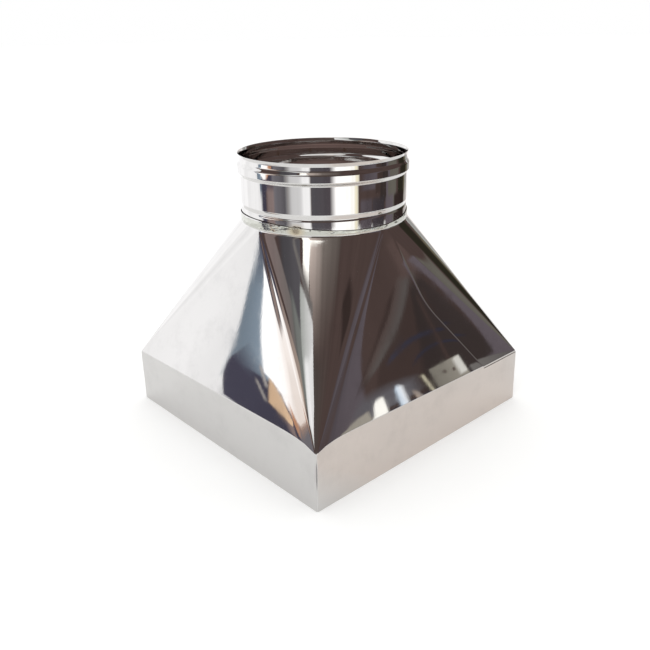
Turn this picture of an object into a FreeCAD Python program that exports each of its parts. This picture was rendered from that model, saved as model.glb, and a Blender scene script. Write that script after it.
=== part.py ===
"""Flue hopper: a square skirt, a square-to-round roof and a beaded round collar, in thin sheet.

Two like half shells make the skirt, the roof and the upturned neck. Each is one folded blank, and
they lap at two seams. The collar is a rolled tube that stands in the neck, held by weld tacks.
Millimetres, +Z up, origin at the middle of the square base.
"""
import FreeCAD, Part
import math
import os
import Sketcher

SIZES = (
    ("base_side", 350.0, "outside width of the square skirt"),
    ("skirt_height", 68.0, "bottom edge to the roof's fold"),
    ("roof_height", 183.0, "fold to the foot of the neck"),
    ("gauge", 0.6, "sheet thickness"),
    ("fit_gap", 0.05, "clearance between two sheets that lap"),
    ("corner_radius", 2.5, "outside radius of the roof's points and the skirt's corners"),
    ("fold_radius", 1.5, "outside radius of the folds between roof and skirt"),
    ("neck_height", 6.5, "height of the upturned neck above the roof"),
    ("neck_fillet", 3.0, "outside radius where the roof turns up into the neck"),
    ("quadrant_flat", 0.4, "width of the flat panels' tips at the neck"),
    ("seam_top", 9.0, "seam's offset from the panel's middle at the neck"),
    ("seam_bend_offset", 34.0, "seam's offset from the panel's middle at its bend"),
    ("seam_bend_height", 92.0, "seam's bend above the fold"),
    ("seam_bottom", 104.0, "seam's offset from the panel's middle at the fold"),
    ("seam_bend_radius", 90.0, "radius of the seam's bend"),
    ("lap", 14.0, "width of the strip that runs on under the other shell"),
    ("free_edge_drop", 1.6, "fold down to the free top edge of the overlapping flange"),
    ("tab_height", 12.0, "height of the short tab inside the overlapping flange"),
    ("tab_end", 9.0, "tab's end to the corner"),
    ("corner_gap", 0.15, "gap at the closed part of the corner joints"),
    ("slit_width", 1.5, "widest opening of a corner slit"),
    ("slit_length", 34.0, "height of a corner slit"),
    ("near_slit_top", 8.0, "fold down to the slits of a shell's own corner"),
    ("side_slit_top", 28.0, "fold down to the slits between the two shells"),
    ("bore_radius", 100.0, "inside radius of the collar's body"),
    ("collar_tuck", 2.0, "collar's lower end below the foot of the neck"),
    ("foot_step", 0.3, "collar's foot smaller in radius than its body"),
    ("stop_depth", 1.1, "rolled-in stop, depth from the body"),
    ("stop_low", 16.0, "stop's lower edge above the foot of the neck"),
    ("stop_bottom", 17.8, "stop's deepest line"),
    ("stop_high", 23.0, "stop's upper edge above the foot of the neck"),
    ("bead_low", 55.6, "start of the slope up to the bead"),
    ("bead_face_low", 58.8, "lower end of the bead's face"),
    ("bead_face_high", 67.6, "upper end of the bead's face"),
    ("bead_rise", 2.8, "bead's height over the body"),
    ("throat_low", 71.4, "lower end of the throat between bead and lip"),
    ("throat_high", 76.8, "upper end of the throat"),
    ("throat_rise", 0.3, "throat's height over the body"),
    ("lip_rise", 1.7, "lip's height over the body"),
    ("collar_rise", 80.0, "collar's lip above the foot of the neck"),
    ("roll_radius", 2.2, "radius of the collar's rolled bends"),
    ("tack_count", 3.0, "number of weld tacks"),
    ("tack_turn", -60.0, "direction of the first tack, degrees from +X"),
    ("tack_length", 9.0, "tack's length round the neck"),
    ("tack_height", 3.4, "tack's height"),
    ("tack_depth", 2.4, "tack's depth out from the collar"),
)

FOOT_RADIUS = "(sizes.bore_radius + sizes.gauge - sizes.foot_step)"
# How far one shell stands in from the other at a seam, measured level, so that the sheets lap.
LEAN = "atan((sizes.base_side / 2 - " + FOOT_RADIUS + ") / sizes.roof_height)"
SEAM_STEP = "((sizes.gauge + sizes.fit_gap) / cos(" + LEAN + "))"
# The neck clears the collar's foot where the two shells lie one over the other.
NECK_RADIUS = "(" + FOOT_RADIUS + " + sizes.gauge + sizes.fit_gap + " + SEAM_STEP + ")"
ROOF_ANGLE = "atan((sizes.base_side / 2 - " + NECK_RADIUS + ") / sizes.roof_height)"
NECK_FOOT = "(sizes.skirt_height + sizes.roof_height)"
NECK_TOP = "(" + NECK_FOOT + " + sizes.neck_height)"
MARGIN = 10.0


def make_sheet(doc):
    """The driving sizes, one row each: what it is, then its number under its own alias."""
    sheet = doc.addObject("Spreadsheet::Sheet", "sizes")
    for row, (alias, value, meaning) in enumerate(SIZES, 1):
        sheet.set("A%d" % row, meaning)
        sheet.set("B%d" % row, str(value))
        sheet.setAlias("B%d" % row, alias)
    doc.recompute()
    return sheet


def number(sketch, expression):
    """The present value of an expression."""
    value = sketch.evalExpression(expression)
    return float(getattr(value, "Value", value))


def plane(body, role):
    """One of a body's own origin planes."""
    return next(item for item in body.Origin.OriginFeatures if item.Role == role)


def attach(body, name, role, offset=None):
    """A sketch on one of the body's origin planes, moved by expressions for x, y and z."""
    sketch = body.newObject("Sketcher::SketchObject", name)
    sketch.AttachmentSupport = [(plane(body, role), "")]
    sketch.MapMode = "FlatFace"
    for axis, expression in (offset or {}).items():
        sketch.setExpression("AttachmentOffset.Base." + axis, expression)
    return sketch


def pin(sketch, geometry, position, across, up):
    """Hold a point at the place that two expressions give."""
    for kind, axis, expression in (("DistanceX", -2, across), ("DistanceY", -1, up)):
        value = number(sketch, expression)
        if value == 0.0:
            sketch.addConstraint(Sketcher.Constraint("PointOnObject", geometry, position, axis))
            continue
        ends = (-1, 1, geometry, position) if value > 0.0 else (geometry, position, -1, 1)
        index = sketch.addConstraint(Sketcher.Constraint(kind, *ends, abs(value)))
        sign = "" if value > 0.0 else "-"
        sketch.setExpression("Constraints[%d]" % index, sign + "(" + expression + ")")


def draw_path(sketch, corners, closed):
    """Straight runs through corners (across, up, radius), each rounded where it has a radius."""
    count = len(corners)
    places = [FreeCAD.Vector(number(sketch, c[0]), number(sketch, c[1]), 0) for c in corners]
    marks = []
    for (across, up, radius), place in zip(corners, places):
        mark = sketch.addGeometry(Part.Point(place), True)
        pin(sketch, mark, 1, across, up)
        marks.append(mark)
    starts = list(places)
    ends = list(places)
    arcs = {}
    for i, (across, up, radius) in enumerate(corners):
        if radius is None:
            continue
        before = (places[i - 1] - places[i]).normalize()
        after = (places[(i + 1) % count] - places[i]).normalize()
        half = before.getAngle(after) / 2.0
        size = number(sketch, radius)
        ends[i] = places[i] + before * (size / math.tan(half))
        starts[i] = places[i] + after * (size / math.tan(half))
        middle = places[i] + (before + after).normalize() * (size / math.sin(half))
        inner = middle + (places[i] - middle).normalize() * size
        arc = Part.Arc(ends[i], inner, starts[i])
        arcs[i] = (sketch.addGeometry(arc, False), before.cross(after).z < 0.0, radius)
    runs = []
    for i in range(count if closed else count - 1):
        runs.append(sketch.addGeometry(Part.LineSegment(starts[i], ends[(i + 1) % count]), False))
        for mark, place in ((marks[i], i), (marks[(i + 1) % count], (i + 1) % count)):
            if place in arcs:
                sketch.addConstraint(Sketcher.Constraint("PointOnObject", mark, 1, runs[i]))
            elif place == i:
                sketch.addConstraint(Sketcher.Constraint("Coincident", mark, 1, runs[i], 1))
            else:
                sketch.addConstraint(Sketcher.Constraint("Coincident", mark, 1, runs[i], 2))
    for i, (arc, left_turn, radius) in arcs.items():
        first, last = (1, 2) if left_turn else (2, 1)
        sketch.addConstraint(Sketcher.Constraint("Tangent", runs[i - 1], 2, arc, first))
        sketch.addConstraint(Sketcher.Constraint("Tangent", arc, last, runs[i], 1))
        index = sketch.addConstraint(Sketcher.Constraint("Radius", arc, number(sketch, radius)))
        sketch.setExpression("Constraints[%d]" % index, radius)


def rounded_rectangle(sketch, across, along, radius):
    """A rectangle about the sketch's origin, given by its half widths and corner radius."""
    corners = [(sign_x + across, sign_y + along, radius)
               for sign_x, sign_y in (("-", "-"), ("", "-"), ("", ""), ("-", ""))]
    draw_path(sketch, corners, True)


def edges_at(shape, height):
    """Names of the edges that lie flat at a height."""
    found = []
    for index, edge in enumerate(shape.Edges, 1):
        box = edge.BoundBox
        if abs(box.ZMin - height) < 0.01 and abs(box.ZMax - height) < 0.01:
            found.append("Edge%d" % index)
    return found


def shell_form(doc, name, inset, overrun):
    """The solid inside one skin of a shell: skirt, ruled roof and neck, with rounded folds.

    inset is how far the skin stands in from the outer one, and overrun how far the solid runs on
    past the sheet's bottom and top edges. The roof is ruled from the rounded square to a circle
    whose four tiny flats face the square's sides, which gives four flat panels and four cones.
    """
    body = doc.addObject("PartDesign::Body", name)
    step = "(" + SEAM_STEP + " / 2)"
    lowered = "(" + inset + " * tan(" + ROOF_ANGLE + " / 2))"
    fold = "(sizes.skirt_height - " + lowered + ")"
    foot = "(" + NECK_FOOT + " - " + lowered + ")"
    wide = "(sizes.base_side / 2 - " + step + " - " + inset + ")"
    deep = "(sizes.base_side / 2 - " + inset + ")"
    corner = "sizes.corner_radius - " + inset
    ring = "(" + NECK_RADIUS + " - " + step + " - " + inset + ")"
    ring_corner = ring + " - sizes.quadrant_flat / 2"
    skirt = attach(body, name + "_skirt_outline", "XY_Plane", {"x": step, "z": "-" + overrun})
    rounded_rectangle(skirt, wide, deep, corner)
    doc.recompute()
    pad = body.newObject("PartDesign::Pad", name + "_skirt")
    pad.Profile = skirt
    pad.setExpression("Length", fold + " + " + overrun)
    base = attach(body, name + "_fold_outline", "XY_Plane", {"x": step, "z": fold})
    rounded_rectangle(base, wide, deep, corner)
    top = attach(body, name + "_foot_outline", "XY_Plane", {"x": step, "z": foot})
    rounded_rectangle(top, ring, ring, ring_corner)
    doc.recompute()
    roof = body.newObject("PartDesign::AdditiveLoft", name + "_roof")
    roof.Profile = base
    roof.Sections = [top]
    roof.Ruled = True
    rim = attach(body, name + "_neck_outline", "XY_Plane", {"x": step, "z": foot})
    rounded_rectangle(rim, ring, ring, ring_corner)
    doc.recompute()
    neck = body.newObject("PartDesign::Pad", name + "_neck")
    neck.Profile = rim
    neck.setExpression("Length", NECK_TOP + " - " + foot + " + " + overrun)
    doc.recompute()
    turned = body.newObject("PartDesign::Fillet", name + "_neck_turn")
    turned.Base = (neck, edges_at(neck.Shape, number(rim, foot)))
    turned.setExpression("Radius", "sizes.neck_fillet + " + inset)
    doc.recompute()
    folded = body.newObject("PartDesign::Fillet", name + "_fold")
    folded.Base = (turned, edges_at(turned.Shape, number(rim, fold)))
    folded.setExpression("Radius", "sizes.fold_radius - " + inset)
    doc.recompute()
    return body


def shell_region(doc):
    """The space that one shell's sheet keeps, as a solid: flanges, roof, neck, lap and tab."""
    body = doc.addObject("PartDesign::Body", "shell_region")
    reach = "(sizes.base_side / 2 + %g)" % MARGIN
    edge = "(sizes.skirt_height - sizes.free_edge_drop)"
    bend_up = "(sizes.skirt_height + sizes.seam_bend_height)"
    over_top = "(" + NECK_TOP + " + %g)" % MARGIN
    gap = "(sizes.corner_gap / 2 * sqrt(2))"

    below = attach(body, "flange_outline", "XY_Plane", {"z": "-%g" % MARGIN})
    draw_path(below, [("-" + reach, "-" + reach + " - " + gap, None),
                      (reach, "-" + reach + " - " + gap, None),
                      (reach, reach + " - " + gap, None)], True)
    doc.recompute()
    flanges = body.newObject("PartDesign::Pad", "flange_space")
    flanges.Profile = below
    flanges.setExpression("Length", edge + " + %g" % MARGIN)

    over = attach(body, "over_outline", "YZ_Plane")
    draw_path(over, [("-" + reach, edge, None),
                     ("sizes.seam_bottom", edge, None),
                     ("sizes.seam_bottom", "sizes.skirt_height", None),
                     ("sizes.seam_bend_offset", bend_up, "sizes.seam_bend_radius"),
                     ("sizes.seam_top", NECK_FOOT, None),
                     ("sizes.seam_top", over_top, None),
                     ("-" + reach, over_top, None)], True)
    doc.recompute()
    over_space = body.newObject("PartDesign::Pad", "over_space")
    over_space.Profile = over
    over_space.setExpression("Length", reach)

    lap_bend = "(sizes.lap - sizes.seam_bend_offset)"
    lap_top = "(sizes.lap - sizes.seam_top)"
    under = attach(body, "under_outline", "YZ_Plane")
    draw_path(under, [("-" + reach, edge, None),
                      ("-sizes.base_side / 2 + sizes.tab_end", edge, None),
                      ("-sizes.base_side / 2 + sizes.tab_end",
                       "sizes.skirt_height - sizes.tab_height", None),
                      ("-sizes.seam_bottom", "sizes.skirt_height - sizes.tab_height", None),
                      ("-sizes.seam_bottom", "sizes.skirt_height + sizes.free_edge_drop", None),
                      ("sizes.lap - sizes.seam_bottom",
                       "sizes.skirt_height + sizes.free_edge_drop", None),
                      (lap_bend, bend_up, "sizes.seam_bend_radius"),
                      (lap_top, NECK_FOOT, None),
                      (lap_top, over_top, None),
                      ("-" + reach, over_top, None)], True)
    doc.recompute()
    under_space = body.newObject("PartDesign::Pad", "under_space")
    under_space.Profile = under
    under_space.setExpression("Length", reach)
    under_space.Reversed = True
    doc.recompute()
    return body


def corner_slit(doc, name, turn, top):
    """A spindle-shaped gap in a corner joint, cut along the corner's diagonal."""
    body = doc.addObject("PartDesign::Body", name)
    high = "(sizes.skirt_height - " + top + ")"
    low = "(" + high + " - sizes.slit_length)"
    half = "(sizes.slit_width / 2)"
    # The radius of a side that bows out by half the width over the slit's length.
    bow = "(((sizes.slit_length / 2) ^ 2 + " + half + " ^ 2) / sizes.slit_width)"
    sketch = attach(body, name + "_outline", "YZ_Plane")
    z_high = number(sketch, high)
    z_low = number(sketch, low)
    wide = number(sketch, half)
    middle = (z_high + z_low) / 2.0
    tips = (FreeCAD.Vector(0, z_low, 0), FreeCAD.Vector(0, z_high, 0))
    right = sketch.addGeometry(Part.Arc(tips[0], FreeCAD.Vector(wide, middle, 0), tips[1]), False)
    left = sketch.addGeometry(Part.Arc(tips[1], FreeCAD.Vector(-wide, middle, 0), tips[0]), False)
    for first, second in ((1, 2), (2, 1)):
        sketch.addConstraint(Sketcher.Constraint("Coincident", right, first, left, second))
    pin(sketch, right, 1, "0", low)
    pin(sketch, right, 2, "0", high)
    for arc in (right, left):
        index = sketch.addConstraint(Sketcher.Constraint("Radius", arc, number(sketch, bow)))
        sketch.setExpression("Constraints[%d]" % index, bow)
    doc.recompute()
    pad = body.newObject("PartDesign::Pad", name + "_cut")
    pad.Profile = sketch
    pad.setExpression("Length", "sizes.base_side * sqrt(2) / 2 + %g" % MARGIN)
    body.Placement = FreeCAD.Placement(FreeCAD.Vector(0, 0, 0), FreeCAD.Rotation(turn, 0, 0))
    doc.recompute()
    return body


def make_shells(doc):
    """Both half shells, from the same sheet form, the rear one turned half a turn."""
    outer = shell_form(doc, "shell_outside", "0", "0")
    inner = shell_form(doc, "shell_inside", "sizes.gauge", "1")
    sheet = doc.addObject("Part::Cut", "shell_sheet")
    sheet.Base = outer
    sheet.Tool = inner
    region = shell_region(doc)
    slits = doc.addObject("Part::MultiFuse", "corner_slits")
    slits.Shapes = [corner_slit(doc, "slit_near", -45, "sizes.near_slit_top"),
                    corner_slit(doc, "slit_right", 45, "sizes.side_slit_top"),
                    corner_slit(doc, "slit_far", 135, "sizes.near_slit_top"),
                    corner_slit(doc, "slit_left", 225, "sizes.side_slit_top")]
    shells = []
    for label, turn in (("front_shell", 0), ("rear_shell", 180)):
        half = doc.addObject("Part::Common", label + "_blank")
        half.Base = sheet
        half.Tool = region
        half.Placement = FreeCAD.Placement(FreeCAD.Vector(), FreeCAD.Rotation(turn, 0, 0))
        shell = doc.addObject("Part::Cut", label)
        shell.Label = label
        shell.Base = half
        shell.Tool = slits
        shells.append(shell)
    doc.recompute()
    return shells


def make_collar(doc):
    """A tube turned from its own wall section, which is the outer line and the gauge inside it."""
    body_line = "sizes.bore_radius + sizes.gauge"
    foot = FOOT_RADIUS
    stop = body_line + " - sizes.stop_depth"
    bead = body_line + " + sizes.bead_rise"
    throat = body_line + " + sizes.throat_rise"
    lip = body_line + " + sizes.lip_rise"

    def up(size):
        return NECK_FOOT + " + sizes." + size

    section = doc.addObject("Sketcher::SketchObject", "collar_line")
    section.Placement = FreeCAD.Placement(FreeCAD.Vector(), FreeCAD.Rotation(0, 0, 90))
    roll = "sizes.roll_radius"
    draw_path(section, [(foot, NECK_FOOT + " - sizes.collar_tuck", None),
                        (foot, up("stop_low"), roll),
                        (stop, up("stop_bottom"), roll),
                        (body_line, up("stop_high"), roll),
                        (body_line, up("bead_low"), roll),
                        (bead, up("bead_face_low"), roll),
                        (bead, up("bead_face_high"), roll),
                        (throat, up("throat_low"), roll),
                        (throat, up("throat_high"), roll),
                        (lip, up("collar_rise"), None)], False)
    doc.recompute()
    wall = doc.addObject("Part::Offset2D", "collar_wall")
    wall.Source = section
    wall.setExpression("Value", "sizes.gauge")
    wall.Fill = True
    wall.Mode = "Skin"
    doc.recompute()
    collar = doc.addObject("Part::Revolution", "collar")
    collar.Label = "collar"
    collar.Source = wall
    collar.Axis = FreeCAD.Vector(0, 0, 1)
    collar.Base = FreeCAD.Vector(0, 0, 0)
    collar.Angle = 360
    collar.Solid = True
    doc.recompute()
    return collar


def make_tacks(doc, collar, shells):
    """Small weld tacks in the angle between the neck's raw edge and the collar."""
    count = int(number(collar, "sizes.tack_count"))
    # Each bead starts inside the collar's wall and reaches out over the neck's edge.
    middle = "(" + FOOT_RADIUS + " + (sizes.tack_depth - sizes.gauge) / 2)"
    beads = []
    for index in range(count):
        bead = doc.addObject("Part::Ellipsoid", "tack_bead_%d" % (index + 1))
        bead.setExpression("Radius1", "sizes.tack_height / 2")
        bead.setExpression("Radius2", "sizes.tack_depth / 2")
        bead.setExpression("Radius3", "sizes.tack_length / 2")
        turn = "(sizes.tack_turn + %d * 360 / sizes.tack_count)" % index
        bead.setExpression("Placement.Base.x", middle + " * cos(" + turn + ")")
        bead.setExpression("Placement.Base.y", middle + " * sin(" + turn + ")")
        bead.setExpression("Placement.Base.z", NECK_TOP)
        bead.setExpression("Placement.Rotation.Angle", turn)
        beads.append(bead)
    group = doc.addObject("Part::Compound", "tack_beads")
    group.Links = beads
    held = doc.addObject("Part::MultiFuse", "tacked_pieces")
    held.Shapes = [collar] + shells
    tacks = doc.addObject("Part::Cut", "tack_welds")
    tacks.Label = "tack_welds"
    tacks.Base = group
    tacks.Tool = held
    doc.recompute()
    return tacks


def main():
    doc = FreeCAD.newDocument("flue_hopper")
    make_sheet(doc)
    shells = make_shells(doc)
    collar = make_collar(doc)
    tacks = make_tacks(doc, collar, shells)
    pieces = shells + [collar, tacks]
    doc.recompute()
    for item in doc.Objects:
        if "Invalid" in item.State or "Error" in item.State:
            raise RuntimeError("%s is %s" % (item.Label, item.State))
    for piece in pieces:
        if piece.Shape.isNull() or not piece.Shape.isValid():
            raise RuntimeError("%s has no valid shape" % piece.Label)
    os.makedirs("parts", exist_ok=True)
    for piece in pieces:
        box = piece.Shape.BoundBox
        print("%-12s solids %d volume %.0f z %.2f to %.2f" % (
            piece.Label, len(piece.Shape.Solids), piece.Shape.Volume, box.ZMin, box.ZMax))
        piece.Shape.exportStep("parts/%s.step" % piece.Label)


main()
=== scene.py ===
"""A flue hopper of mirror-polished stainless sheet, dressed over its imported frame.

The two half shells, the collar and the weld tacks are worked out as smooth surfaces in place of the
frame's meshes, because polished sheet shows every facet. Lengths are in metres, as in the frame.
"""
import math
from typing import NamedTuple

import bmesh
import bpy
import numpy as np
from bpy.props import FloatProperty, FloatVectorProperty, IntProperty, PointerProperty
from bpy.types import Operator, Panel, PropertyGroup
from mathutils import Matrix, Vector


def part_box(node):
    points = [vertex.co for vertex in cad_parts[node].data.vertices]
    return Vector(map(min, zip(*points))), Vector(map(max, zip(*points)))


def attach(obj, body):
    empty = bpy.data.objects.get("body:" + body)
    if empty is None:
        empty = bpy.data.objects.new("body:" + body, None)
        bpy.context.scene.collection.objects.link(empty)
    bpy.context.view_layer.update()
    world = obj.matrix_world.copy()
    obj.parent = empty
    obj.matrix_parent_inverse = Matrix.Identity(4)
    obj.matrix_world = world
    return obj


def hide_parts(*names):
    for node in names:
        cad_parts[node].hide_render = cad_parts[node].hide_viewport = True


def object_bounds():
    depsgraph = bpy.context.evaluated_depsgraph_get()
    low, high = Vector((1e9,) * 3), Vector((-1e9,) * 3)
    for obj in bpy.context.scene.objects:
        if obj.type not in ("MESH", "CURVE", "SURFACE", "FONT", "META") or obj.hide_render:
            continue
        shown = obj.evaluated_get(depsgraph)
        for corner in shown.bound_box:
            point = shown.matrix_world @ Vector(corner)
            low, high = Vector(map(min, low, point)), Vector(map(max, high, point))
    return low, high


bl_info = {
    "name": "Flue Hopper",
    "version": (1, 0, 0),
    "blender": (4, 5, 0),
    "location": "3D View > Sidebar > Hopper",
    "description": "Polished square-to-round flue hopper with its collar, welds and studio",
    "category": "Add Mesh",
}

MM = 0.001
SHARP = math.radians(38)  # an edge that turns more than this is a raw edge

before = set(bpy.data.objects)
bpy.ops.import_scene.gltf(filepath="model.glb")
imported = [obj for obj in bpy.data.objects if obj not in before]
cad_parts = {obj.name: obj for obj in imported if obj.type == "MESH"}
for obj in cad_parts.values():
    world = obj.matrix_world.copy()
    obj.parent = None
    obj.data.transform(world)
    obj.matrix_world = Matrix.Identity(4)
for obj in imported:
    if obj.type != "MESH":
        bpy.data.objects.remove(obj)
CAD_BOX = [list(corner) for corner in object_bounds()]
SHELL_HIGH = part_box("front_shell")[1]
COLLAR_LOW, COLLAR_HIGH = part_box("collar")


class HopperSizes(PropertyGroup):
    """The hopper's driving sizes."""

    base_side: FloatProperty(
        name="Base side", description="Outside width of the square skirt",
        default=CAD_BOX[1][0] - CAD_BOX[0][0], unit="LENGTH", precision=4)
    neck_top: FloatProperty(
        name="Neck top", description="Raw edge of the upturned neck above the base",
        default=SHELL_HIGH[2], unit="LENGTH", precision=4)
    neck_height: FloatProperty(
        name="Neck height", description="Height of the upturned neck",
        default=6.5 * MM, unit="LENGTH", precision=4)
    neck_sway: FloatProperty(
        name="Neck sway", description="How unevenly the neck's raw edge was cut",
        default=3.5 * MM, unit="LENGTH", precision=4)
    skirt_height: FloatProperty(
        name="Skirt height", description="Height of the folds at the corners",
        default=68 * MM, unit="LENGTH", precision=4)
    fold_rise: FloatProperty(
        name="Fold rise", description="How far a fold bows up beside the near corner",
        default=7.5 * MM, unit="LENGTH", precision=4)
    gauge: FloatProperty(
        name="Gauge", description="Sheet thickness", default=0.6 * MM, unit="LENGTH", precision=5)
    seam_step: FloatProperty(
        name="Seam step", description="How far one shell stands in from the other at a seam",
        default=0.7 * MM, unit="LENGTH", precision=5)
    collar_foot: FloatProperty(
        name="Collar foot", description="Collar's lower end above the base",
        default=COLLAR_LOW[2], unit="LENGTH", precision=4)
    collar_top: FloatProperty(
        name="Collar top", description="Collar's lip above the base",
        default=COLLAR_HIGH[2], unit="LENGTH", precision=4)
    bore_radius: FloatProperty(
        name="Bore radius", description="Inside radius of the collar's body",
        default=100 * MM, unit="LENGTH", precision=4)
    tack_count: IntProperty(
        name="Tacks", description="Number of weld tacks round the neck", default=3, min=1)
    tack_turn: FloatProperty(
        name="First tack", description="Direction of the first tack, from +X",
        default=math.radians(-60), subtype="ANGLE")


class HopperFinish(PropertyGroup):
    """Colours of the hopper and its studio."""

    sheet: FloatVectorProperty(
        name="Sheet", description="Reflected colour of the polished sheet",
        subtype="COLOR", size=3, min=0, max=1, default=(0.70, 0.69, 0.68))
    weld: FloatVectorProperty(
        name="Weld", description="Colour of the weld tacks",
        subtype="COLOR", size=3, min=0, max=1, default=(0.55, 0.52, 0.44))
    tint: FloatVectorProperty(
        name="Heat tint", description="Straw colour that welding leaves on the sheet",
        subtype="COLOR", size=3, min=0, max=1, default=(0.55, 0.42, 0.22))
    floor: FloatVectorProperty(
        name="Floor", description="Colour of the studio floor",
        subtype="COLOR", size=3, min=0, max=1, default=(0.90, 0.90, 0.89))


def ramp(x, half):
    """Nought below zero and x above it, with a parabola across the join, half of it each side."""
    return np.where(x < -half, 0.0, np.where(x > half, x, (x + half) ** 2 / (4 * half)))


def grid_faces(rows, columns, first=0):
    """Quads of a grid of points stored row by row, facing the side that down cross along gives."""
    index = first + np.arange(rows * columns).reshape(rows, columns)
    corners = (index[:-1, :-1], index[1:, :-1], index[1:, 1:], index[:-1, 1:])
    return np.stack(corners, axis=-1).reshape(-1, 4)


def mesh_from_grids(name, grids, weld=1e-6):
    """One mesh from several grids of points, joined where their points meet."""
    points = []
    faces = []
    first = 0
    for grid in grids:
        rows, columns = grid.shape[:2]
        points.append(grid.reshape(-1, 3))
        faces.append(grid_faces(rows, columns, first))
        first += rows * columns
    mesh = bpy.data.meshes.new(name)
    mesh.from_pydata(np.concatenate(points).tolist(), [], np.concatenate(faces).tolist())
    work = bmesh.new()
    work.from_mesh(mesh)
    bmesh.ops.remove_doubles(work, verts=work.verts, dist=weld)
    bmesh.ops.dissolve_degenerate(work, edges=work.edges, dist=weld)
    work.to_mesh(mesh)
    work.free()
    mesh.shade_smooth()
    return mesh


def new_object(name, data):
    """An object that shows the data, in the scene."""
    item = bpy.data.objects.new(name, data)
    bpy.context.scene.collection.objects.link(item)
    return item


def add_piece(name, mesh, material, replaced):
    """The mesh as a piece of the hopper that stands in for a node of the frame."""
    piece = new_object(name, mesh)
    mesh.materials.clear()
    mesh.materials.append(material)
    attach(piece, "root")
    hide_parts(replaced)
    return piece


def thickened(name, mesh, gauge):
    """The skin given the sheet's gauge on its inner side, with crisp raw edges."""
    skin = new_object(name + "_skin", mesh)
    wall = skin.modifiers.new("Gauge", "SOLIDIFY")
    wall.thickness = gauge
    wall.offset = -1.0
    wall.use_even_offset = True
    bpy.context.view_layer.update()
    graph = bpy.context.evaluated_depsgraph_get()
    solid = bpy.data.meshes.new_from_object(skin.evaluated_get(graph))
    solid.name = name
    bpy.data.objects.remove(skin)
    bpy.data.meshes.remove(mesh)
    solid.shade_smooth()
    solid.set_sharp_from_angle(angle=SHARP)
    return solid


class ShellForm:
    """The outside of one shell: level sections that run from a square to a circle."""

    def __init__(self, sizes):
        self.side = sizes.base_side / 2
        self.step = sizes.seam_step
        self.fold = sizes.skirt_height
        self.foot = sizes.neck_top - sizes.neck_height
        self.rise = sizes.fold_rise
        self.neck = sizes.bore_radius + 1.3 * MM
        self.corner = 2.5 * MM
        self.fold_half = 1.0 * MM
        self.neck_half = 1.0 * MM
        self.seam_top = 9 * MM
        self.seam_middle = 34 * MM
        self.seam_low = 104 * MM
        self.seam_bend = self.fold + 92 * MM
        self.lap = 14 * MM
        self.low_edge = self.fold - 1.6 * MM
        self.tab_low = self.fold - 12 * MM
        self.tab_start = 9 * MM
        self.neck_rise = sizes.neck_height + 2 * MM
        self.neck_sway = sizes.neck_sway
        self.curl_reach = 2.0 * MM
        self.curl_depth = 0.14 * MM

    def raw_edge(self, turn):
        """Height of the neck's raw edge: lowest beside the seams, highest a quarter turn round."""
        return self.foot + self.neck_rise - self.neck_sway * np.cos(2 * (turn + math.radians(10)))

    def bow(self, distance):
        """Rise of a fold at a distance from the shell's own corner: quick at first, then fading."""
        return self.rise * (1 - distance / (2 * self.side)) * (1 - np.exp(-distance / (14 * MM)))

    def blend(self, height, fold):
        """0 on the skirt and 1 on the neck, straight between, with the folds rounded."""
        climb = ramp(height - fold, self.fold_half) - ramp(height - self.foot, self.neck_half)
        return climb / (self.foot - fold)

    def section(self, share):
        """Half widths across and along, and the corner radius, of the level section at a share."""
        wide = self.side - self.step / 2
        across = wide + (self.neck - wide) * share
        along = self.side + (self.neck - self.side) * share
        corner = self.corner + (self.neck - 0.2 * MM - self.corner) * share
        return across, along, corner

    def seam(self, height):
        """The seam's offset from the panel's middle: two straight runs with a soft bend."""
        low_run = (self.seam_low - self.seam_middle) / (self.seam_bend - self.fold)
        high_run = (self.seam_middle - self.seam_top) / (self.foot - self.seam_bend)
        drop = self.seam_low - low_run * (height - self.fold)
        drop = drop + (low_run - high_run) * ramp(height - self.seam_bend, 16 * MM)
        return np.clip(drop, self.seam_top, self.seam_low)

    def side_point(self, along_side, across, along, corner):
        """How far out the right side is at a place along it, round its corners too."""
        past = np.maximum(np.abs(along_side) - (along - corner), 0.0)
        return across - corner + np.sqrt(np.maximum(corner ** 2 - past ** 2, 0.0))


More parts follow.
